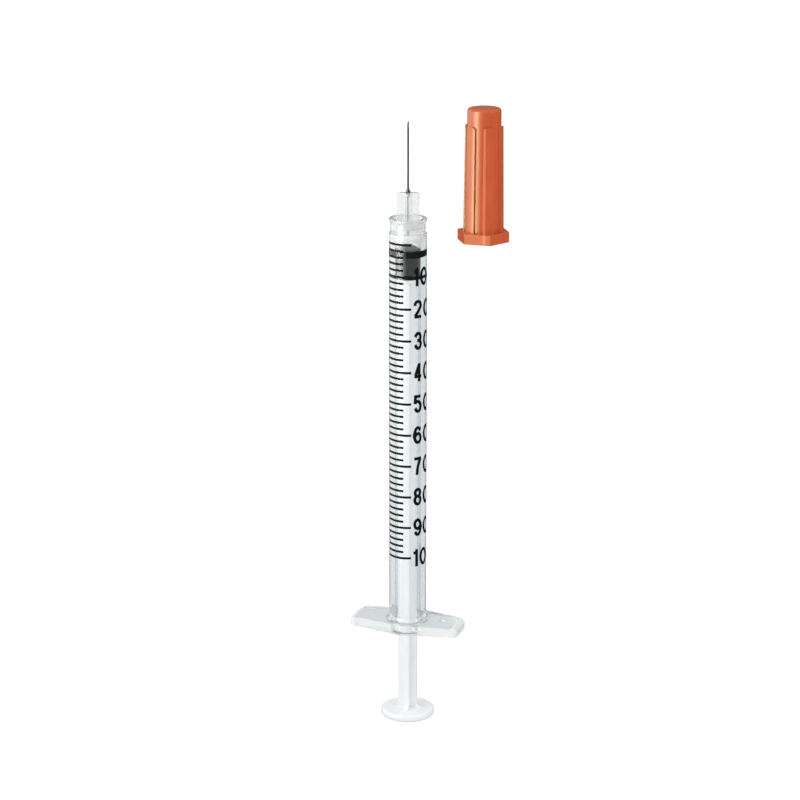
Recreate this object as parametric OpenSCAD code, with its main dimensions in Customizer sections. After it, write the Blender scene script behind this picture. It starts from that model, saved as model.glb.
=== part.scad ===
// Insulin syringe of 1 ml with a bonded needle, drawn back a little over two units, with the needle
// cap taken off and held beside the needle.
// It stands on its thumb disk. The origin is the centre of the disk's underside, +Z runs along the
// axis to the needle's point, and the long way of the finger flange lies on X.

/* [Barrel] */
// Bore that the stopper runs in
bore_d = 4.7; // [4.4:0.1:5]
// Thickness of the barrel's wall
barrel_wall = 1; // [0.85:0.05:1.2]
// Length of the scale, from the zero line to the full line
scale_len = 57.6; // [48:0.6:60]
// Plain length between the full line and the finger flange
skirt_len = 12.5; // [10:0.5:16]
// Length from the zero line to the barrel's front end
nose_len = 1.6; // [1.4:0.1:2.2]
// Height of the ridge in the open end that keeps the stopper in
bead_h = 0.12; // [0.08:0.02:0.2]
// Width of that ridge along the bore
bead_w = 0.8; // [0.6:0.1:1.2]
// Distance from the open end to the middle of that ridge
bead_in = 2.4; // [2:0.2:4]
// Bevel round the mouth of the open end
mouth_bevel = 0.3; // [0.1:0.05:0.5]

/* [Finger flange] */
// Length from tip to tip
flange_len = 20.4; // [18:0.2:24]
// Width across the middle
flange_w = 9.7; // [9.5:0.1:11]
// Width across each cut-off end
flange_end_w = 5.6; // [4:0.2:6.4]
// Thickness
flange_t = 1.85; // [1.4:0.05:2.4]
// Length of the bevel that runs down to each end
flange_bevel = 1; // [0.6:0.1:1.6]
// Drop of that bevel
flange_drop = 0.45; // [0.2:0.05:0.8]
// Rounding of the corners seen from above
flange_corner_r = 0.7; // [0.3:0.1:1.2]
// Fillet between the barrel and the flange
flange_fillet = 0.9; // [0.4:0.1:1]
// Distance from the axis to the round mark that the mould's gate leaves
gate_at = 6.7; // [6.4:0.1:7.4]
// Diameter of that mark
gate_d = 1.1; // [0.7:0.1:1.3]
// Depth of that mark
gate_depth = 0.15; // [0.05:0.05:0.25]

/* [Plunger] */
// How far the plunger is drawn back from zero
drawn = 1.3; // [0.6:0.1:12]
// Gap between the thumb disk and the flange when the plunger is home
thumb_reach = 14.35; // [12:0.1:20]
// Width across the crossed fins
rod_w = 3.4; // [3:0.1:3.8]
// Thickness of one fin
rod_fin_t = 0.9; // [0.7:0.05:1.2]
// Diameter of the web where the fins cross
rod_core_d = 1.5; // [1.3:0.1:1.8]
// Fillet of the fins on the thumb disk
rod_foot_r = 1; // [0.5:0.1:1.5]
// Turn of the fins about the axis, against the flange
rod_turn = 10; // [0:5:45]
// Diameter of the thumb disk
disk_d = 9.8; // [8:0.2:12]
// Thickness of the thumb disk
disk_t = 1.3; // [1:0.1:2]
// Rounding of the thumb disk's rim
disk_rim_r = 0.45; // [0.2:0.05:0.5]
// Thickness of the disc that pushes the stopper
pusher_t = 0.6; // [0.4:0.1:1]
// Diameter of the head that snaps into the stopper
head_d = 2.4; // [2.1:0.1:2.6]
// Length of that head
head_len = 1.9; // [1.4:0.1:2.2]
// Diameter of the neck behind the head
head_neck_d = 1.5; // [1.2:0.1:1.7]

/* [Stopper] */
// Length from the front ring's edge to the back
stopper_len = 5.15; // [4.6:0.05:6]
// Height of the front ring, whose front edge reads the dose
front_ring_h = 1.35; // [1:0.05:1.6]
// Height of the rear ring
rear_ring_h = 0.7; // [0.5:0.05:1]
// Depth of the waist between the rings
stopper_waist = 0.15; // [0.08:0.01:0.3]
// Height of the cone on the front
cone_h = 0.9; // [0.6:0.05:1]
// Thickness of the lip that holds the head
socket_lip = 0.8; // [0.6:0.1:1]

/* [Needle hub] */
// Step from the barrel's outside in to the neck
neck_step = 0.28; // [0.15:0.01:0.4]
// Length of the neck, from the barrel's end to the top of its lip
neck_len = 2.55; // [2.2:0.05:3.5]
// How far the lip stands out from the neck
lip_out = 0.28; // [0.1:0.01:0.35]
// Height of the lip's straight edge
lip_t = 0.4; // [0.3:0.05:0.6]
// Wall of the cup round the ribs
cup_wall = 0.5; // [0.4:0.05:0.6]
// Thickness of the hub's floor above the barrel's end
hub_floor = 0.8; // [0.5:0.1:1.2]
// Width across a pair of ribs, which the cap grips
rib_w = 3.92; // [3.6:0.04:4]
// Thickness of one rib
rib_t = 0.7; // [0.5:0.05:0.9]
// Height of the ribs above the lip
rib_rise = 4.5; // [3.5:0.1:6]
// Bevel on the outer corner of each rib
rib_bevel = 0.3; // [0.1:0.05:0.5]
// Diameter of the post that the needle passes through
post_d = 1.5; // [1.3:0.1:1.8]
// Turn of the ribs about the axis, against the flange
hub_turn = 15; // [0:5:45]

/* [Needle] */
// Outside of the steel tube
needle_d = 0.33; // [0.3:0.01:0.4]
// Bore of the steel tube
needle_bore = 0.18; // [0.14:0.01:0.22]
// Length that stands out of the hub
needle_out = 12.65; // [8:0.05:13]
// Angle between the ground point and the axis
bevel_angle = 13; // [10:1:20]
// How much steeper the two side grinds of the point are
lancet_steeper = 6; // [3:1:9]
// Turn of each side grind about the axis
lancet_turn = 35; // [20:5:45]
// Diameter of the adhesive well in the post
well_d = 0.9; // [0.7:0.05:1]
// Depth of the adhesive well
well_depth = 1; // [0.6:0.1:1.6]
// Height to which the adhesive climbs the needle above the post
bond_h = 0.95; // [0.4:0.05:1.2]

/* [Needle cap] */
// Distance of the cap's axis from the needle
cap_off = 13.75; // [12:0.25:20]
// Height of the cap's mouth below the barrel's end
cap_drop = 0.5; // [0:0.1:3]
// Space between the needle's point and the cap's closed end
tip_gap = 4.05; // [2:0.05:6]
// Thickness of the closed end
cap_end_t = 1.5; // [1:0.1:2]
// Diameter of the plain top
cap_top_d = 5.86; // [5.6:0.02:6.4]
// Growth of the body's radius from the top to the hexagon
cap_draft = 0.25; // [0.1:0.05:0.5]
// Length of the plain top above the panels
cap_plain = 3; // [2:0.1:5]
// Number of raised panels
cap_panels = 6; // [4:1:8]
// Share of the circle that the panels take
panel_share = 0.53; // [0.4:0.01:0.7]
// How far the panels stand proud
panel_h = 0.36; // [0.2:0.02:0.5]
// Height of the hexagon round the mouth
hex_h = 1.8; // [1.4:0.1:2.4]
// Wall of the hexagon at the middle of its flats
hex_wall = 0.62; // [0.5:0.02:1]
// Rounding of the closed end's edge
cap_edge_r = 0.5; // [0.2:0.1:1]
// Turn of the cap about its own axis
cap_turn = 2; // [0:1:59]

/* [Hidden] */
$fn = 96;

// Clearances: stopper in bore, welded spigot, needle bond, head in socket, cone at zero, cap on hub
slide_gap = 0.02;
weld_gap = 0.02;
bond_gap = 0.01;
head_gap = 0.05;
zero_gap = 0.1;
cap_gap = 0.05;
// Gap of the pusher disc in the bore
pusher_gap = 0.25;
// Rounding of the stopper's ring edges
ring_edge = 0.12;
// Overrun of every cut
cut = 1;
// Straight steps in a quarter of a rounded edge
arc_steps = 8;

bore_r = bore_d / 2;
barrel_r = bore_r + barrel_wall;
needle_r = needle_d / 2;
rib_r = rib_w / 2;

// Heights along the axis, from the thumb disk up
flange_z = disk_t + thumb_reach + drawn;
flange_top = flange_z + flange_t;
zero_z = flange_top + skirt_len + scale_len;
barrel_end = zero_z + nose_len;
lip_top = barrel_end + neck_len;
post_top = lip_top + rib_rise;
point_z = post_top + needle_out;
stopper_z = zero_z - drawn;
stopper_back = stopper_z - stopper_len;

// Stopper, its socket and the head that fills it
ring_r = bore_r - slide_gap;
waist_r = ring_r - stopper_waist;
cone_base_r = ring_r - stopper_waist - ring_edge;
cone_tip_share = 0.3;
cone_tip_r = cone_base_r * cone_tip_share;
head_r = head_d / 2;
head_tip_share = 0.55;
pusher_r = bore_r - pusher_gap;

// Hub
neck_r = barrel_r - neck_step;
lip_r = neck_r + lip_out;
cup_r = neck_r - cup_wall;
cup_z = barrel_end + hub_floor;
spigot_z = zero_z + zero_gap;
needle_root = spigot_z + cone_h;

// Cap, from its mouth up. Seated, its recess covers the lip and its bore grips the ribs
hex_sides = 6;
recess_r = lip_r + cap_gap;
recess_h = lip_t + cap_gap;
hex_r = (recess_r + hex_wall) / cos(180 / hex_sides);
cap_bore_r = rib_r + cap_gap;
cap_grip_h = recess_h + rib_rise;
cap_inner = cap_grip_h + needle_out + tip_gap;
cap_len = cap_inner + cap_end_t;
cap_z = barrel_end - cap_drop;
cap_top_r = cap_top_d / 2;
cap_foot_r = cap_top_r + cap_draft;
tunnel_share = 0.62;
panel_top = cap_len - cap_plain;
panel_corner_share = 0.6;

// Points of an arc about c from angle a0 to a1
function arc(c, r, a0, a1) =
    [for (i = [0:arc_steps]) let (a = a0 + (a1 - a0) * i / arc_steps) c + r * [cos(a), sin(a)]];

function unit(v) = v / norm(v);

// Points that round the corner at b, coming from a and going to c, anticlockwise
function corner(a, b, c, r) =
    let (u = unit(a - b), v = unit(c - b), half = acos(u * v) / 2,
         mid = b + unit(u + v) * r / sin(half),
         from = b + u * r / tan(half) - mid,
         start = atan2(from[1], from[0]))
    arc(mid, r, start, start + 180 - 2 * half);

// A convex outline, given anticlockwise, with all its corners rounded
function rounded(points, r) =
    let (n = len(points))
    [for (i = [0:n - 1]) each corner(points[(i + n - 1) % n], points[i], points[(i + 1) % n], r)];

// An upright slab of thickness t, standing on the XZ plane's outline
module slab(t, points) {
    rotate([90, 0, 0]) linear_extrude(height = t, center = true) polygon(points);
}

// The finger flange: a lozenge with cut-off ends, each running down in a bevel
module finger_flange() {
    half = flange_len / 2;
    end = flange_end_w / 2;
    mid = flange_w / 2;
    outline = [[-half, -end], [0, -mid], [half, -end], [half, end], [0, mid], [-half, end]];
    side = [[-half, 0], [half, 0], [half, flange_t - flange_drop], [half - flange_bevel, flange_t],
            [flange_bevel - half, flange_t], [-half, flange_t - flange_drop]];
    intersection() {
        linear_extrude(height = flange_t) polygon(rounded(outline, flange_corner_r));
        slab(flange_w, side);
    }
}

// The bore, with a bevelled mouth and the ridge that the stopper can't pass
module barrel_bore() {
    length = barrel_end - flange_z;
    rotate_extrude() polygon([
        [0, -cut], [bore_r + mouth_bevel, -cut], [bore_r + mouth_bevel, 0], [bore_r, mouth_bevel],
        [bore_r, bead_in - bead_w / 2], [bore_r - bead_h, bead_in - bead_w / 6],
        [bore_r - bead_h, bead_in + bead_w / 6], [bore_r, bead_in + bead_w / 2],
        [bore_r, length + cut], [0, length + cut]]);
}

module barrel() {
    length = barrel_end - flange_z;
    foot = [barrel_r + flange_fillet, flange_t + flange_fillet];
    color([0.9, 0.95, 0.96, 0.5]) translate([0, 0, flange_z]) difference() {
        union() {
            finger_flange();
            rotate_extrude() polygon(concat(
                [[0, 0], [foot[0], 0]], arc(foot, flange_fillet, 270, 180),
                [[barrel_r, length], [0, length]]));
        }
        barrel_bore();
        translate([gate_at, 0, flange_t - gate_depth]) cylinder(h = gate_depth + cut, d = gate_d);
    }
}

// The hub plugs the barrel's front end and carries the needle on a post with four ribs
module needle_hub() {
    color([0.9, 0.94, 0.93, 0.6]) difference() {
        union() {
            rotate_extrude() polygon([
                [0, needle_root], [cone_tip_r + zero_gap, needle_root], [cone_base_r + zero_gap, spigot_z],
                [bore_r - weld_gap, spigot_z], [bore_r - weld_gap, barrel_end], [neck_r, barrel_end],
                [neck_r, lip_top - lip_t - lip_out], [lip_r, lip_top - lip_t], [lip_r, lip_top],
                [cup_r, lip_top], [cup_r, cup_z], [post_d / 2, cup_z], [post_d / 2, post_top], [0, post_top]]);
            for (a = [0, 90, 180, 270]) rotate([0, 0, hub_turn + a])
                slab(rib_t, [[0, cup_z], [rib_r, cup_z], [rib_r, post_top - rib_bevel],
                             [rib_r - rib_bevel, post_top], [0, post_top]]);
        }
        translate([0, 0, needle_root - cut])
            cylinder(h = post_top - needle_root + 2 * cut, r = needle_r + bond_gap);
        translate([0, 0, post_top - well_depth])
            cylinder(h = well_depth, r1 = needle_r + bond_gap, r2 = well_d / 2);
    }
}

// What one grind takes off: all above a plane through the very point, turned about the axis
module grind(steeper, turn) {
    angle = bevel_angle + steeper;
    reach = needle_d / sin(angle) + cut;
    rise = needle_r * (1 - cos(turn)) / tan(angle);
    translate([0, 0, point_z + rise]) rotate([0, 0, turn])
        translate([0, needle_r, 0]) rotate([-angle, 0, 0])
            translate([-needle_d, -2 * needle_d, -reach])
                cube([2 * needle_d, 2 * needle_d, reach + cut]);
}

// The steel tube, ground to a slanted lancet point that faces the scale
module needle() {
    color([0.7, 0.72, 0.74]) difference() {
        translate([0, 0, needle_root]) cylinder(h = point_z - needle_root, r = needle_r);
        translate([0, 0, needle_root - cut])
            cylinder(h = point_z - needle_root + 2 * cut, d = needle_bore);
        grind(0, 0);
        for (side = [-1, 1]) grind(lancet_steeper, side * lancet_turn);
    }
}

// The bead of cured adhesive: it fills the well and climbs the needle
module needle_adhesive() {
    bond_r = needle_r + bond_gap;
    well_r = well_d / 2 - bond_gap;
    color([0.75, 0.78, 0.78, 0.7]) translate([0, 0, post_top]) rotate_extrude() polygon([
        [bond_r, -well_depth * (well_r - bond_r) / (well_d / 2 - bond_r)], [well_r, 0],
        [(well_r + bond_r) / 2, bond_h / 3], [bond_r + needle_r / 2, bond_h * 2 / 3],
        [bond_r + bond_gap, bond_h], [bond_r, bond_h]]);
}

// A ring of the stopper as profile points, going down, with its edges eased
function ring(top, bottom) =
    [[ring_r - ring_edge, top], [ring_r, top - ring_edge],
     [ring_r, bottom + ring_edge], [ring_r - ring_edge, bottom]];

module stopper() {
    front_bottom = stopper_len - front_ring_h;
    neck_r = head_neck_d / 2 + head_gap;
    chamber_r = head_r + head_gap;
    chamber_top = socket_lip + head_len + 2 * head_gap;
    color([0.13, 0.15, 0.15]) translate([0, 0, stopper_back]) rotate_extrude() polygon(concat(
        [[0, stopper_len + cone_h], [cone_tip_r, stopper_len + cone_h], [cone_base_r, stopper_len]],
        ring(stopper_len, front_bottom),
        [[waist_r, front_bottom], [waist_r, rear_ring_h]],
        ring(rear_ring_h, 0),
        [[neck_r, 0], [neck_r, socket_lip], [chamber_r, socket_lip],
         [chamber_r, chamber_top - head_r], [chamber_r * head_tip_share, chamber_top], [0, chamber_top]]));
}

// One pair of fins, filleted on the thumb disk and running up to the pusher disc
module fin_pair(top) {
    half = rod_w / 2;
    right = concat([[half + rod_foot_r, 0]], arc([half + rod_foot_r, rod_foot_r], rod_foot_r, 270, 180),
                   [[half, top]]);
    left = [for (i = [len(right) - 1:-1:0]) [-right[i][0], right[i][1]]];
    slab(rod_fin_t, concat(right, left));
}

// The head that snaps into the stopper: a straight neck under a tapered barb
module snap_head() {
    barb = socket_lip + head_gap;
    rotate_extrude() polygon([
        [0, -pusher_t], [head_neck_d / 2, -pusher_t], [head_neck_d / 2, barb], [head_r, barb],
        [head_r, barb + head_len - head_r], [head_r * head_tip_share, barb + head_len],
        [0, barb + head_len]]);
}

module plunger_rod() {
    fin_top = stopper_back - pusher_t - disk_t;
    rim = disk_d / 2 - disk_rim_r;
    color([0.93, 0.95, 0.96]) union() {
        rotate_extrude() polygon(concat(
            [[0, 0]], arc([rim, disk_rim_r], disk_rim_r, 270, 360),
            arc([rim, disk_t - disk_rim_r], disk_rim_r, 0, 90), [[0, disk_t]]));
        translate([0, 0, disk_t]) {
            rotate([0, 0, rod_turn]) fin_pair(fin_top);
            rotate([0, 0, rod_turn + 90]) fin_pair(fin_top);
            cylinder(h = fin_top, d = rod_core_d);
        }
        translate([0, 0, stopper_back - pusher_t]) cylinder(h = pusher_t, r = pusher_r);
        translate([0, 0, stopper_back]) snap_head();
    }
}

// One raised panel of the cap, as the outline that a radial cut leaves, with rounded top corners
module cap_panel() {
    half = 180 * panel_share / cap_panels;
    foot = (cap_foot_r + panel_h) * sin(half);
    head = (cap_top_r + panel_h) * sin(half);
    corner_r = head * panel_corner_share;
    rotate([90, 0, 90]) linear_extrude(height = cap_foot_r + panel_h + cut) polygon(concat(
        [[-foot, 0], [foot, 0]],
        arc([head - corner_r, panel_top - corner_r], corner_r, 0, 90),
        arc([corner_r - head, panel_top - corner_r], corner_r, 90, 180)));
}

// The cap's inside: a recess for the hub's lip, the grip on the ribs, then a tapered tunnel
module cap_inside() {
    tunnel_r = cap_bore_r * tunnel_share;
    rotate_extrude() polygon([
        [0, -cut], [recess_r, -cut], [recess_r, recess_h], [cap_bore_r, recess_h],
        [cap_bore_r, cap_grip_h], [tunnel_r, cap_inner - tunnel_r],
        [tunnel_r / 2, cap_inner], [0, cap_inner]]);
}

module needle_cap() {
    color([0.86, 0.4, 0.25]) translate([cap_off, 0, cap_z]) rotate([0, 0, cap_turn]) difference() {
        union() {
            cylinder(h = hex_h, r = hex_r, $fn = hex_sides);
            rotate_extrude() polygon(concat(
                [[0, 0], [cap_foot_r, 0], [cap_foot_r, hex_h], [cap_top_r, panel_top]],
                arc([cap_top_r - cap_edge_r, cap_len - cap_edge_r], cap_edge_r, 0, 90),
                [[0, cap_len]]));
            intersection() {
                cylinder(h = panel_top, r1 = cap_foot_r + panel_h, r2 = cap_top_r + panel_h);
                for (i = [0:cap_panels - 1]) rotate([0, 0, i * 360 / cap_panels]) cap_panel();
            }
        }
        cap_inside();
    }
}

barrel();
needle_hub();
needle();
needle_adhesive();
stopper();
plunger_rod();
needle_cap();
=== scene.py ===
# Insulin syringe with a bonded needle. The plunger is drawn back a little over two units, and the
# orange needle cap is held beside the needle. Metres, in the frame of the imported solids: the
# origin is under the thumb disk and +Z runs up to the needle's point.
import math

import bmesh
import bpy
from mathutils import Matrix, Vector


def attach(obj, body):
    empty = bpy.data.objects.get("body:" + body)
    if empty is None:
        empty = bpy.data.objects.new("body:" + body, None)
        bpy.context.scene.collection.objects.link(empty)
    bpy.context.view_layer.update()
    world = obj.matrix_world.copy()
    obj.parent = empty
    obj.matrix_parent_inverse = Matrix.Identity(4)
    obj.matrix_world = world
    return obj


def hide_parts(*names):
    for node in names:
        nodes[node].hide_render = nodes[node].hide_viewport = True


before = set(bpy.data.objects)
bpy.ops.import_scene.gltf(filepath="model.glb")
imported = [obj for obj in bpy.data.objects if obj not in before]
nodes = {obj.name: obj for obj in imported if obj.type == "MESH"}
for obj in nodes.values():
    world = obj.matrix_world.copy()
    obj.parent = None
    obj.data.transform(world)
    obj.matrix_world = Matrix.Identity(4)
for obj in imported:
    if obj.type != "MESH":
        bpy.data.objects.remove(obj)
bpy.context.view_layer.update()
MM = 0.001


# Barrel: a tube moulded in one piece with its finger flange, in clear polypropylene. The mould
# leaves every edge slightly soft, and the thick flange and its bevels are milkier than the tube.
class Wire:
    """A shader socket. Sums and products of wires and numbers add their Math nodes."""

    def __init__(self, socket):
        self.socket = socket

    def add(self, kind, sockets=(), settings=(), output=0):
        """Adds a node of that type to this wire's tree and gives one of its outputs as a wire."""
        made = self.socket.id_data.nodes.new("ShaderNode" + kind)
        for name, value in dict(settings).items():
            setattr(made, name, value)
        for name, value in dict(sockets).items():
            if isinstance(value, Wire):
                self.socket.id_data.links.new(value.socket, made.inputs[name])
            else:
                made.inputs[name].default_value = value
        return Wire(made.outputs[output]) if made.outputs else None

    def ramp(self, *stops):
        """A Color Ramp with (place, value) stops, driven by this wire."""
        made = self.add("ValToRGB", {0: self})
        bar = made.socket.node.color_ramp
        while len(bar.elements) < len(stops):
            bar.elements.new(1)
        for mark, (place, value) in zip(bar.elements, stops):
            mark.position = place
            mark.color = (*value, 1) if isinstance(value, tuple) else (value, value, value, 1)
        return made

    def drift(self, low, high):
        """A tint that wanders between two close ones with this noise."""
        return self.ramp((0.3, low), (0.7, high))

    def mix(self, other, share=1.0, way="MIX"):
        """This tint taken a share of the way to another one, or multiplied by it."""
        return self.add("Mix", {0: share, 6: self, 7: other},
                        {"data_type": "RGBA", "blend_type": way}, output=2)

    def axis(self, letter):
        return self.add("SeparateXYZ", {0: self}, output=letter)

    def math(self, operation, other=0):
        return self.add("Math", {0: self, 1: other}, {"operation": operation})

    def __add__(self, other):
        return self.math("ADD", other)

    def __sub__(self, other):
        return self.math("SUBTRACT", other)

    def __rsub__(self, other):
        return self.add("Math", {0: other, 1: self}, {"operation": "SUBTRACT"})

    def __mul__(self, other):
        return self.math("MULTIPLY", other)

    __radd__ = __add__
    __rmul__ = __mul__


def finish(name):
    """A new material with an empty tree, and its Object coordinates as the first wire."""
    material = bpy.data.materials.new(name)
    material.use_nodes = True
    material.node_tree.nodes.clear()
    start = material.node_tree.nodes.new("ShaderNodeTexCoord")
    return material, Wire(start.outputs["Object"])


def noise(place, scale, detail=2, stretch=(1, 1, 1)):
    """Noise with so many cells to the metre, drawn out along an axis by a small stretch."""
    drawn = place.add("Mapping", {"Vector": place, "Scale": stretch})
    return place.add("TexNoise", {"Vector": drawn, "Scale": scale, "Detail": detail})


def edged(place, tint, stops):
    """A tint darkened with painted shade as clear plastic turns away from the eye, where its outlines
    show dark.
    """
    facing = place.add("LayerWeight", {"Blend": 0.5}, output="Facing")
    return tint.mix(facing.ramp(*stops), way="MULTIPLY")


def plastic(material, place, relief=None, relief_height=0.0, haze=None, **sockets):
    """Closes a finish with a Principled shader, with a relief as its bump and a milky haze over it."""
    values = {name.replace("_", " "): value for name, value in sockets.items()}
    if relief:
        values["Normal"] = place.add("Bump", {"Height": relief, "Distance": relief_height})
    shader = place.add("BsdfPrincipled", values)
    if haze:
        milk = place.add("BsdfPrincipled", {"Base Color": MILK_TINT, "Roughness": 0.4})
        shader = place.add("MixShader", {0: haze, 1: shader, 2: milk})
    place.add("OutputMaterial", {"Surface": shader})
    return material


def piece(shape, name, smooth_angle=35):
    """A shown object from a finished bmesh, smooth but for its sharp edges."""
    mesh = bpy.data.meshes.new(name)
    shape.to_mesh(mesh)
    shape.free()
    mesh.shade_smooth()
    mesh.set_sharp_from_angle(angle=math.radians(smooth_angle))
    made = bpy.data.objects.new(name, mesh)
    bpy.context.scene.collection.objects.link(made)
    made.modifiers.new("true walls", "WEIGHTED_NORMAL").keep_sharp = True
    return made


def softened(node, name, edge_r, least_angle=30):
    """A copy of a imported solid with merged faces, its outer edges rounded by the mould."""
    shape = bmesh.new()
    shape.from_mesh(nodes[node].data)
    bmesh.ops.remove_doubles(shape, verts=shape.verts, dist=MERGE)
    bmesh.ops.dissolve_limit(
        shape, angle_limit=math.radians(0.5), verts=shape.verts, edges=shape.edges)
    sharp = [edge for edge in shape.edges
             if edge.is_convex and edge.calc_face_angle(0) > math.radians(least_angle)]
    bmesh.ops.bevel(shape, geom=sharp, offset=edge_r, offset_type="OFFSET", segments=2, profile=0.5,
                    affect="EDGES", clamp_overlap=True, material=-1)
    return piece(shape, name)


MERGE = 1e-7  # points nearer than this are one
BARREL_EDGE_R = 0.12 * MM
CLEAR_TINTS = (0.95, 0.97, 0.975), (0.97, 0.985, 0.985)
MILK_TINT = (0.88, 0.905, 0.905, 1)
# Painted shade on the wall against how far it turns from the eye: a dark band, a paler one and the
# edge.
WALL_PAINTED_SHADE = [
    (0.06, 1.0), (0.13, 0.92), (0.19, (0.68, 0.72, 0.73)), (0.25, (0.64, 0.68, 0.69)),
    (0.3, (0.52, 0.56, 0.57)), (0.41, (0.45, 0.49, 0.5)), (0.47, (0.6, 0.64, 0.65)),
    (0.6, (0.61, 0.65, 0.66)), (0.85, (0.5, 0.55, 0.56))]
# How milky the plastic is, by height as a part of 100 mm and by reach along X as a part of 10 mm.
TALL, BROAD = 100 * MM, 10 * MM
FLANGE_MILK = [(0.19, 0.14), (0.2, 0.0)]
MOUTH_MILK = [(0.886, 0.0), (0.893, 0.25), (0.904, 0.5)]
BEVEL_MILK = [(0.91, 0.0), (0.93, 0.85)]

barrel = softened("barrel", "barrel_moulding", BARREL_EDGE_R)
material, place = finish("clear barrel")
flow = noise(place, 900, stretch=(1, 1, 0.08))
high = place.axis("Z") * (1 / TALL)
wide = place.axis("X").math("ABSOLUTE") * (1 / BROAD)
barrel.data.materials.append(plastic(
    material, place, relief=flow, relief_height=0.004 * MM,
    haze=high.ramp(*FLANGE_MILK, *MOUTH_MILK).math("MAXIMUM", wide.ramp(*BEVEL_MILK)),
    # The tube's outlines are darkened with painted shade, by how far its wall turns from the eye.
    Base_Color=edged(place, flow.drift(*CLEAR_TINTS), WALL_PAINTED_SHADE),
    Roughness=0.03, IOR=1.49, Transmission_Weight=1.0))
barrel.visible_shadow = barrel.visible_diffuse = False  # light reaches what is inside
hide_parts("barrel")
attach(barrel, "barrel")

# Scale: black ink printed round the barrel, a line every 2 units and a number every 10. The
# ink is a film wrapped from a flat drawing, and its underside shows through the wall from behind.
BORE_R = 2.35 * MM
BARREL_R = 3.35 * MM
ZERO_Z, SCALE_LEN = 88.9 * MM, 57.6 * MM
UNITS, LINE_EVERY, NUMBER_EVERY = 100, 2, 10
FACING = math.radians(-71)  # the turn of the drawing's middle, from which its angles count
LINE_W = 0.42 * MM
LINE_FROM, LINE_SHORT, LINE_LONG = math.radians(-77), math.radians(-14), math.radians(10)
DIGIT_FROM = math.radians(17)
DIGIT_W, DIGIT_H, DIGIT_GAP = 1.75 * MM, 3.33 * MM, 0.48 * MM
ONE_WIDTH = 0.53  # the 1 takes this part of a digit's width
STROKE = 0.58 * MM
STRIP_W = 0.15 * MM
FILM_R, FILM_UNDER = BARREL_R + 0.004 * MM, 0.024 * MM
INK_TINTS = (0.003, 0.003, 0.003), (0.01, 0.01, 0.011)
# Each digit is drawn by pen strokes in a box one wide and one high. A point with a third value
# of 1 is a corner, the others lie on a smooth bend.
DIGITS = {
    "0": [[(0, 0.78), (0.5, 1), (1, 0.78), (1, 0.22), (0.5, 0), (0, 0.22), (0, 0.78)]],
    "1": [[(0.33, 1.1, 1), (0.33, -0.1, 1)], [(0.33, 0.92, 1), (0.12, 0.86), (-0.2, 0.83, 1)]],
    "2": [[(0, 0.72, 1), (0.05, 0.88), (0.5, 1), (0.98, 0.76), (0.62, 0.42), (0, 0.05, 1)],
          [(-0.1, 0, 1), (1.1, 0, 1)]],
    "3": [[(0, 0.76, 1), (0.5, 1), (0.95, 0.76), (0.72, 0.55), (0.35, 0.53, 1)],
          [(0.35, 0.53, 1), (0.78, 0.5), (1, 0.25), (0.5, 0), (0, 0.25, 1)]],
    "4": [[(0.72, 1.1, 1), (0.72, -0.1, 1)], [(0.66, 1, 1), (0.1, 0.33, 1)],
          [(-0.1, 0.24, 1), (1.15, 0.24, 1)]],
    "5": [[(0.98, 1, 1), (0.1, 1, 1)], [(0.1, 1.1, 1), (0.02, 0.5, 1)],
          [(0.1, 0.6, 1), (0.5, 0.66), (1, 0.36), (0.5, 0), (0, 0.22, 1)]],
    "6": [[(0.97, 0.8, 1), (0.52, 1), (0, 0.7), (0, 0.25), (0.5, 0), (1, 0.3), (0.5, 0.6),
           (0.03, 0.4, 1)]],
    "7": [[(-0.1, 1, 1), (1.1, 1, 1)], [(1, 1, 1), (0.55, 0.5), (0.36, -0.1, 1)]],
    "8": [[(0.5, 0.54), (0.06, 0.77), (0.5, 1), (0.94, 0.77), (0.5, 0.54)],
          [(0.5, 0.54), (0, 0.27), (0.5, 0), (1, 0.27), (0.5, 0.54)]],
    "9": [[(0.03, 0.2, 1), (0.48, 0), (1, 0.3), (1, 0.75), (0.5, 1), (0, 0.7), (0.5, 0.4),
           (0.97, 0.6, 1)]],
}


def pen_strokes(digit):
    """The digit's strokes as flat ribbons of the pen's width, in a bmesh."""
    drawing = bpy.data.curves.new("digit", "CURVE")
    drawing.dimensions = "3D"
    drawing.twist_mode = "Z_UP"
    drawing.extrude = STROKE / 2
    drawing.resolution_u = 6
    for stroke in DIGITS[digit]:
        closed = stroke[0] == stroke[-1] and len(stroke[0]) == 2
        points = stroke[:-1] if closed else stroke
        line = drawing.splines.new("BEZIER")
        line.use_cyclic_u = closed
        line.bezier_points.add(len(points) - 1)
        for knot, point in zip(line.bezier_points, points):
            knot.co = ((DIGIT_W - STROKE) * point[0] + STROKE / 2,
                       (DIGIT_H - STROKE) * point[1] + STROKE / 2, 0)
            knot.handle_left_type = knot.handle_right_type = "VECTOR" if len(point) == 3 else "AUTO"
            knot.tilt = math.pi / 2
    holder = bpy.data.objects.new("digit", drawing)
    ribbons = bmesh.new()
    ribbons.from_mesh(holder.to_mesh())
    holder.to_mesh_clear()
    bpy.data.objects.remove(holder)
    return ribbons


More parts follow.
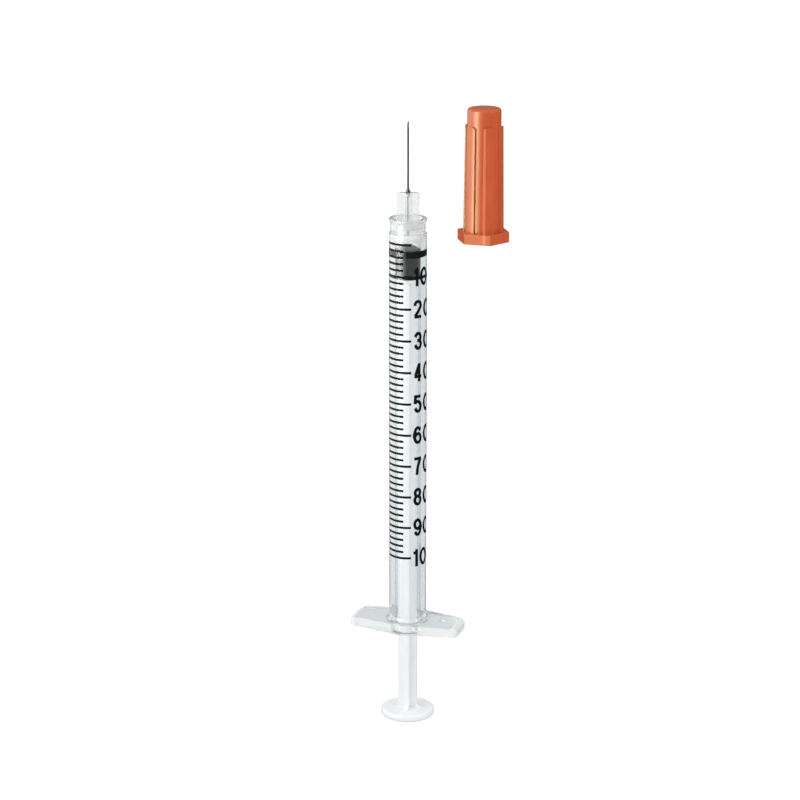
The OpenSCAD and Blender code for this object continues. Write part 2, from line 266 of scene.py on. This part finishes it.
flat = bmesh.new()
for unit in range(0, UNITS + 1, LINE_EVERY):
    z = ZERO_Z - SCALE_LEN * unit / UNITS
    end = LINE_SHORT if unit % NUMBER_EVERY else LINE_LONG
    line = bmesh.ops.create_grid(flat, x_segments=24, y_segments=1, size=0.5)["verts"]
    bmesh.ops.scale(flat, vec=((end - LINE_FROM) * BARREL_R, LINE_W, 1), verts=line)
    bmesh.ops.translate(flat, vec=((end + LINE_FROM) / 2 * BARREL_R, z, 0), verts=line)
    if unit and unit % NUMBER_EVERY == 0:
        x = DIGIT_FROM * BARREL_R
        for digit in str(unit):
            ribbons = pen_strokes(digit)
            bmesh.ops.translate(ribbons, vec=(x, z - DIGIT_H / 2, 0), verts=ribbons.verts)
            sheet = bpy.data.meshes.new("digit")
            ribbons.to_mesh(sheet)
            ribbons.free()
            flat.from_mesh(sheet)
            bpy.data.meshes.remove(sheet)
            x += DIGIT_W * (ONE_WIDTH if digit == "1" else 1) + DIGIT_GAP
bmesh.ops.remove_doubles(flat, verts=flat.verts, dist=MERGE)
x = DIGIT_FROM * BARREL_R
while x < BARREL_R * math.pi:  # narrow strips, so that the digits bend with the wall
    x += STRIP_W
    bmesh.ops.bisect_plane(flat, geom=flat.verts[:] + flat.edges[:] + flat.faces[:],
                           plane_co=(x, 0, 0), plane_no=(1, 0, 0), dist=MERGE / 10)
for vert in flat.verts:
    angle = FACING + vert.co.x / BARREL_R
    vert.co = Vector((FILM_R * math.cos(angle), FILM_R * math.sin(angle), vert.co.y))
bmesh.ops.recalc_face_normals(flat, faces=flat.faces)
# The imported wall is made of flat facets, which sink 0.008 mm under the true round between their
# edges. The underside lies deeper than that, so that it is inside the wall all the way round.
underside = flat.copy()
for vert in underside.verts:
    vert.co.xy *= 1 - FILM_UNDER / BARREL_R
scale_print, scale_under = piece(flat, "scale_print"), piece(underside, "scale_print_underside")
material, place = finish("scale ink")
grain = noise(place, 9000, 4)
plastic(material, place, Base_Color=grain.ramp((0.3, INK_TINTS[0]), (0.75, INK_TINTS[1])),
        Roughness=0.6, Specular_IOR_Level=0.06)
# One film shows from outside and the other through the wall, so the wall doubles no number.
scale_print.visible_transmission = scale_under.visible_camera = scale_under.visible_glossy = False
for film in (scale_print, scale_under):
    film.data.materials.append(material)
    film.visible_shadow = film.visible_diffuse = False
    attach(film, "barrel")

# Needle hub: a clear plug welded into the barrel's front end. Its cup, post and four ribs hold
# the needle and grip the cap.
HUB_EDGE_R = 0.08 * MM
HUB_TINTS = (0.8, 0.835, 0.825), (0.86, 0.885, 0.88)
# Painted shade that darkens the hub's outlines as its surface turns from the eye.
HUB_PAINTED_SHADE = [(0.6, 1.0), (0.9, (0.6, 0.64, 0.64))]
hub = softened("needle_hub", "needle_hub_moulding", HUB_EDGE_R)
material, place = finish("clear hub")
cloud = noise(place, 1400, 3)
hub.data.materials.append(plastic(
    material, place, relief=cloud, relief_height=0.004 * MM,
    Base_Color=edged(place, cloud.drift(*HUB_TINTS), HUB_PAINTED_SHADE),
    Roughness=0.18, IOR=1.49, Specular_IOR_Level=0.3, Transmission_Weight=0.75))
hub.visible_shadow = hub.visible_diffuse = False
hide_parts("needle_hub")
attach(hub, "barrel")

# Needle: drawn stainless tube, its point ground on a slant in three faces. Drawing leaves fine
# marks along it, and it is bonded into the hub.
# The steel is coloured far darker than bare steel, a painted shade for the dark it reflects.
STEEL_PAINTED_DARK_TINTS = (0.02, 0.021, 0.022), (0.05, 0.052, 0.053)
material, place = finish("needle steel")
drawn = noise(place, 30000, 3, stretch=(1, 1, 0.01))
nodes["needle"].data.materials.clear()
nodes["needle"].data.materials.append(plastic(
    material, place, relief=drawn, relief_height=0.002 * MM, Base_Color=drawn.drift(*STEEL_PAINTED_DARK_TINTS),
    Roughness=drawn * 0.2 + 0.2, Metallic=1.0, Specular_Tint=(0.4, 0.4, 0.4, 1)))

# Adhesive: a bead of cured resin that fills the well in the hub's post and climbs the needle a
# little way. It is glossy, and dark with the steel that shows through it.
RESIN_TINTS = (0.05, 0.055, 0.055), (0.14, 0.15, 0.15)
material, place = finish("cured adhesive")
swirl = noise(place, 5000)
nodes["needle_adhesive"].data.materials.clear()
nodes["needle_adhesive"].data.materials.append(plastic(
    material, place, Base_Color=swirl.drift(*RESIN_TINTS),
    Roughness=0.12, IOR=1.5, Transmission_Weight=0.6))

# Stopper: moulded black rubber, with a cone on its front ring and a narrower core down to the
# rear ring. Both rings press into the siliconed bore, so they show across the whole width of the
# wall, and the cone's top is painted paler, a painted reflection of the light above.
STOPPER_BACK = 82.45 * MM
SEAT, WAIST = BORE_R / MM + 0.02, 2.18
# Radius and height in millimetres, from the cone's middle round the outside and into the socket.
PROFILE = [
    (0, 6.05), (0.66, 6.05), (0.75, 5.99), (2.04, 5.22), (2.18, 5.15),
    (SEAT, 5.08), (SEAT, 3.9), (2.28, 3.8), (WAIST, 3.74), (WAIST, 0.76), (2.28, 0.7),
    (SEAT, 0.62), (SEAT, 0.08), (2.28, 0),
    (0.85, 0), (0.8, 0.05), (0.8, 0.8), (1.25, 0.8), (1.25, 1.6), (0.7, 2.8), (0, 2.8)]
RUBBER_TINTS = (0.004, 0.006, 0.006), (0.01, 0.013, 0.013)
PAINTED_REFLECTION_TINT = (0.12, 0.13, 0.13, 1)
PAINTED_REFLECTION = [(0.875, 0.0), (0.8765, 1.0)]
shape = bmesh.new()
ring = [shape.verts.new((r * MM, 0, STOPPER_BACK + z * MM)) for r, z in PROFILE]
walls = [shape.edges.new(pair) for pair in zip(ring, ring[1:])]
bmesh.ops.spin(shape, geom=ring + walls, cent=(0, 0, 0), axis=(0, 0, 1), angle=math.tau, steps=96,
               use_merge=True)
bmesh.ops.remove_doubles(shape, verts=shape.verts, dist=MERGE)
bmesh.ops.recalc_face_normals(shape, faces=shape.faces)
# The spin gives its faces in another order on each run, so they are sorted by their corners.
shape.verts.index_update()
corners = {face: [vert.index for vert in face.verts] for face in shape.faces}
shape.faces.sort(key=lambda face: min(corners[face]) * len(shape.verts) + max(corners[face]))
stopper = piece(shape, "stopper_rubber", 50)
material, place = finish("stopper rubber")
grain = noise(place, 4000, 4)
# The cone's top above the front ring, lightened as a painted reflection of the light above.
painted_reflection = (place.axis("Z") * (1 / TALL)).ramp(*PAINTED_REFLECTION)
stopper.data.materials.append(plastic(
    material, place, relief=grain, relief_height=0.01 * MM,
    Base_Color=grain.drift(*RUBBER_TINTS).mix(PAINTED_REFLECTION_TINT, painted_reflection),
    Roughness=grain * 0.2 + 0.35, Specular_IOR_Level=0.05))
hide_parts("stopper")
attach(stopper, "stopper")

# Plunger rod: one moulding in milky white plastic, with crossed fins on a round thumb disk and a
# head that snaps into the stopper. The light goes a little way into it.
ROD_EDGE_R = 0.1 * MM
WHITE_TINTS = (0.86, 0.885, 0.89), (0.91, 0.93, 0.935)
rod = softened("plunger_rod", "plunger_moulding", ROD_EDGE_R)
material, place = finish("plunger white")
flow = noise(place, 700, stretch=(1, 1, 0.2))
rod.data.materials.append(plastic(
    material, place, relief=flow, relief_height=0.01 * MM, Base_Color=flow.drift(*WHITE_TINTS),
    Roughness=flow * 0.1 + 0.3,
    Subsurface_Weight=0.3, Subsurface_Radius=(1, 1, 1), Subsurface_Scale=0.4 * MM))
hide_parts("plunger_rod")
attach(rod, "plunger")

# Needle cap: satin orange polyethylene with six raised panels and a hexagon round its mouth. One
# wall of each panel, the one turned from the key lamp, is darkened with painted shade, and a
# painted highlight runs down the edge of one panel.
CAP_OFF = 13.75 * MM
CAP_EDGE_R = 0.22 * MM
CORE_FOOT_R, CORE_FOOT_Z, PANEL_TOP_Z = 3.18 * MM, 91.8 * MM, 110.15 * MM
CORE_TAPER = 0.25 * MM / (PANEL_TOP_Z - CORE_FOOT_Z)
PANEL_H, PANELS, CAP_TURN = 0.36 * MM, 6, math.radians(2)
FACET = math.radians(9)
ORANGE_TINTS = (0.6, 0.099, 0.037), (0.66, 0.122, 0.045)
# The paler orange of the painted highlight on one panel's edge.
PAINTED_HIGHLIGHT_TINT = (0.76, 0.22, 0.105, 1)
# The painted shade on the wall and the panel's edge go by how far a spot stands out from the
# core, in panel heights, and the painted highlight by how far round the cap it is, in panels.
PAINTED_WALL_SHADE = [(0.05, 0.0), (0.14, 0.75), (0.45, 0.75), (0.6, 0.0)]
PANEL_EDGE = [(0.3, 0.0), (0.5, 1.0)]
PAINTED_HIGHLIGHT = [(0.72, 0.0), (0.735, 1.0), (0.82, 1.0), (0.84, 0.0)]
cap = softened("needle_cap", "needle_cap_moulding", CAP_EDGE_R, 25)
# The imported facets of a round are 8 degrees wide, so the body's rounds get their true normals.
settled = cap.evaluated_get(bpy.context.evaluated_depsgraph_get()).data
normals = [normal.vector.copy() for normal in settled.corner_normals]
for face in cap.data.polygons:
    outward = face.center - Vector((CAP_OFF, 0, face.center.z))
    if face.center.z > CORE_FOOT_Z and face.normal.dot(outward.normalized()) > math.cos(FACET):
        for corner in face.loop_indices:
            spot = cap.data.vertices[cap.data.loops[corner].vertex_index].co
            outward = (spot - Vector((CAP_OFF, 0, spot.z))).normalized()
            normals[corner] = (outward + Vector((0, 0, face.normal.z))).normalized()
cap.modifiers.clear()
cap.data.normals_split_custom_set(normals)
material, place = finish("cap orange")
flow = noise(place, 600, 3, stretch=(1, 1, 0.3))
from_axis = place.add("VectorMath", {0: place, 1: (CAP_OFF, 0, 0)}, {"operation": "SUBTRACT"})
level = place.add("VectorMath", {0: from_axis, 1: (1, 1, 0)}, {"operation": "MULTIPLY"})
reach = place.add("VectorMath", {0: level}, {"operation": "LENGTH"}, output="Value")
core = CORE_FOOT_R - (place.axis("Z").math("MINIMUM", PANEL_TOP_Z) - CORE_FOOT_Z) * CORE_TAPER
proud = (reach - core) * (1 / PANEL_H)
turn = from_axis.axis("Y").math("ARCTAN2", from_axis.axis("X"))
pitch = (turn - CAP_TURN) * (PANELS / math.tau) + 2
# The side of each panel turned from the key lamp, which takes the painted shade.
shaded_side = 1 - pitch.math("FLOORED_MODULO", 1).math("GREATER_THAN", 0.5)
# A painted highlight down the rounded edge of one panel, where the light box would catch it.
painted_highlight = pitch.ramp(*PAINTED_HIGHLIGHT) * proud.ramp(*PANEL_EDGE)
tint = flow.drift(*ORANGE_TINTS).mix(PAINTED_HIGHLIGHT_TINT, painted_highlight)
cap.data.materials.append(plastic(
    material, place, relief=flow, relief_height=0.015 * MM,
    Base_Color=tint.mix(1 - shaded_side * proud.ramp(*PAINTED_WALL_SHADE), way="MULTIPLY"),
    Roughness=flow * 0.12 + 0.15, Specular_IOR_Level=0.5, Specular_Tint=(0.5, 1, 0.6, 1),
    Subsurface_Weight=0.2, Subsurface_Radius=(1, 0.3, 0.1), Subsurface_Scale=0.5 * MM))
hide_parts("needle_cap")
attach(cap, "cap")

# Camera: where the photograph was taken from, by the fit to the scale's lines and the barrel's
# edges. It stands a little to the right of the scale and looks down.
CAMERA_TURN, CAMERA_TILT = math.radians(19), math.radians(16.19)
CAMERA_FAR, LENS, SENSOR = 453.8 * MM, 114.77, 36
AIM_RIGHT, AIM_UP = -1.398 * MM, 59.986 * MM


def direction(turn, lift):
    """Points from the object to something seen at that turn from its front and that height."""
    return Vector((math.sin(turn) * math.cos(lift), -math.cos(turn) * math.cos(lift), math.sin(lift)))


to_camera = direction(CAMERA_TURN, CAMERA_TILT)
aim = Vector((math.cos(CAMERA_TURN), math.sin(CAMERA_TURN), 0)) * AIM_RIGHT + Vector((0, 0, AIM_UP))
camera = bpy.data.objects.new("camera", bpy.data.cameras.new("camera"))
camera.data.lens, camera.data.sensor_width = LENS, SENSOR
camera.data.clip_start, camera.data.clip_end = 0.01, 20
camera.location = aim + to_camera * CAMERA_FAR
camera.rotation_mode = "QUATERNION"
camera.rotation_quaternion = (-to_camera).to_track_quat("-Z", "Y")
bpy.context.scene.collection.objects.link(camera)
bpy.context.scene.camera = camera


# Floor and surround: white paper under and round the object. To the camera, straight or through
# clear plastic, it is pure white, and in shiny walls it shows darker, as a dim room does.
def seen(wire):
    """1 for what the camera sees, straight or through clear plastic, and 1 for what shines back."""
    straight, through, shine = [
        wire.add("LightPath", output=kind)
        for kind in ("Is Camera Ray", "Is Transmission Ray", "Is Glossy Ray")]
    return straight.math("MAXIMUM", through), shine * (1 - through)


FLOOR_HALF, FLOOR_Z = 3, -0.02 * MM
shape = bmesh.new()
bmesh.ops.create_grid(shape, x_segments=1, y_segments=1, size=FLOOR_HALF)
floor = piece(shape, "floor")
floor.location.z = FLOOR_Z
material, place = finish("white floor")
eye, shine = seen(place)
# The camera sees the glow and the paper, which takes the shadow. The plain white lights the object
# from below, and the dim one is what shows in shiny walls.
glow = place.add("Emission", {"Color": (1, 1, 1, 1), "Strength": 0.72})
paper = place.add("BsdfDiffuse", {"Color": (0.45, 0.45, 0.45, 1)})
plain = place.add("BsdfDiffuse", {"Color": (0.8, 0.8, 0.8, 1)})
dim = place.add("BsdfDiffuse", {"Color": (0.04, 0.04, 0.04, 1)})
place.add("OutputMaterial", {"Surface": place.add("MixShader", {
    0: eye, 1: place.add("MixShader", {0: shine, 1: plain, 2: dim}),
    2: place.add("AddShader", {0: glow, 1: paper})})})
floor.data.materials.append(material)

# By the rise of the line of sight: how much darker the surround is overhead, through clear
# plastic, and how bright it shows in shiny walls. The third value lights the object.
OVERHEAD = [(0.45, 0.0), (0.65, 0.3)]
SHINE = [(0.1, 0.1), (0.6, 0.5)]
ROOM_LIGHT = 0.88
world = bpy.data.worlds.new("white surround")
bpy.context.scene.world = world
world.use_nodes = True
world.node_tree.nodes.clear()
sky = Wire(world.node_tree.nodes.new("ShaderNodeTexCoord").outputs["Generated"])
eye, shine = seen(sky)
up = sky.axis("Z")
overhead = up.ramp(*OVERHEAD) * (1 - sky.add("LightPath", output="Is Camera Ray"))
shown = eye * (1 - overhead) + shine * up.ramp(*SHINE)
sky.add("OutputWorld", {"Surface": sky.add("Background", {
    "Color": (1, 1, 1, 1), "Strength": shown + (1 - eye) * (1 - shine) * ROOM_LIGHT})})

# Light box: it stands on the left and shows in shiny walls. It is a screen round the object that
# leans from the floor outwards, brightest in its middle and fading towards the camera.
BOX_FROM, BOX_TO = CAMERA_TURN - math.radians(145), CAMERA_TURN - math.radians(8)
BOX_NEAR, BOX_FAR, BOX_TOP, BOX_DIM_TO = 0.05, 0.4, 0.35, 50 * MM
BOX_GLOW = 12.5
BOX_FOOT = [(0.1, 0.2), (0.9, 1.0)]
BOX_ROUND = [
    (0, 0.09), (0.255, 0.18), (0.479, 0.26), (0.546, 0.56), (0.59, 0.82), (0.68, 1.0),
    (0.747, 0.82), (0.784, 0.6), (0.836, 0.36), (0.888, 0.16), (1, 0.02)]
shape = bmesh.new()
foot, head = [
    shape.verts.new((math.sin(BOX_FROM) * reach, -math.cos(BOX_FROM) * reach, z))
    for reach, z in ((BOX_NEAR, 0), (BOX_FAR, BOX_TOP))]
bmesh.ops.spin(shape, geom=[foot, head, shape.edges.new((foot, head))], cent=(0, 0, 0),
               axis=(0, 0, 1), angle=BOX_TO - BOX_FROM, steps=26)
light_box = piece(shape, "light_box")
material, place = finish("light box")
turn = place.axis("X").math("ARCTAN2", place.axis("Y") * -1)
turned = (turn - BOX_FROM) * (1 / (BOX_TO - BOX_FROM))
high = place.axis("Z") * (1 / BOX_DIM_TO)
place.add("OutputMaterial", {"Surface": place.add("Emission", {
    "Color": (1, 1, 1, 1), "Strength": high.ramp(*BOX_FOOT) * turned.ramp(*BOX_ROUND) * BOX_GLOW})})
light_box.data.materials.append(material)
light_box.visible_camera = light_box.visible_diffuse = False
light_box.visible_transmission = light_box.visible_shadow = False

# Lamps: a soft key from the left and a weaker, lower fill from the right, both square and aimed
# at the middle of the object.
LAMP_AIM = Vector((0.005, 0, 0.06))
LAMPS = {  # turn from the camera (right is positive) and height in degrees, distance, size, watts
    "key": (-62, 28, 0.6, 0.3, 0.85),
    "fill": (55, 20, 0.7, 0.4, 0.6),
}
for name, (turn, lift, far, size, watts) in LAMPS.items():
    lamp = bpy.data.objects.new(name, bpy.data.lights.new(name, "AREA"))
    lamp.data.size, lamp.data.energy = size, watts
    ray = direction(CAMERA_TURN + math.radians(turn), math.radians(lift))
    lamp.location = LAMP_AIM + ray * far
    lamp.rotation_mode = "QUATERNION"
    lamp.rotation_quaternion = ray.to_track_quat("Z", "Y")
    bpy.context.scene.collection.objects.link(lamp)

bpy.context.scene.view_settings.view_transform = "Standard"
